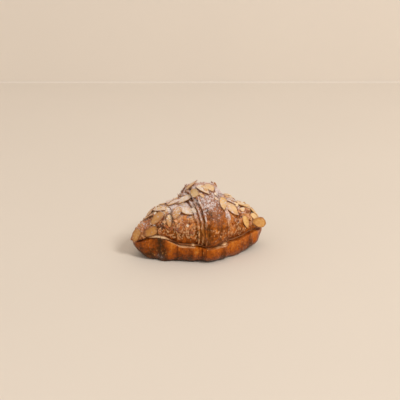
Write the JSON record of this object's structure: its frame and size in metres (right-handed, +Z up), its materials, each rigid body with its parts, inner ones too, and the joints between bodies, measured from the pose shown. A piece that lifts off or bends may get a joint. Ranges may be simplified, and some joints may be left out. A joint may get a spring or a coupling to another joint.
{
  "type": "almond croissant",
  "caption": "Straight croissant sliced level and filled with almond cream, its rolled wraps stepping up to the middle, flaked almonds baked onto the top half.",
  "frame": {"origin": "on the table, under the middle of the croissant", "axes": "+X along the croissant to its right tip as seen from the front, -Y towards its front, +Z up"},
  "size_m": [0.1423, 0.0861, 0.073],
  "materials": {
    "crust_top": "matte, dusted",
    "crust_bottom": "satin, buttery",
    "almond_cream": "matte, moist"
  },
  "bodies": {
    "root": {"top_half": "crust_top", "bottom_half": "crust_bottom", "almond_cream": "almond_cream"}
  },
  "joints": []
}
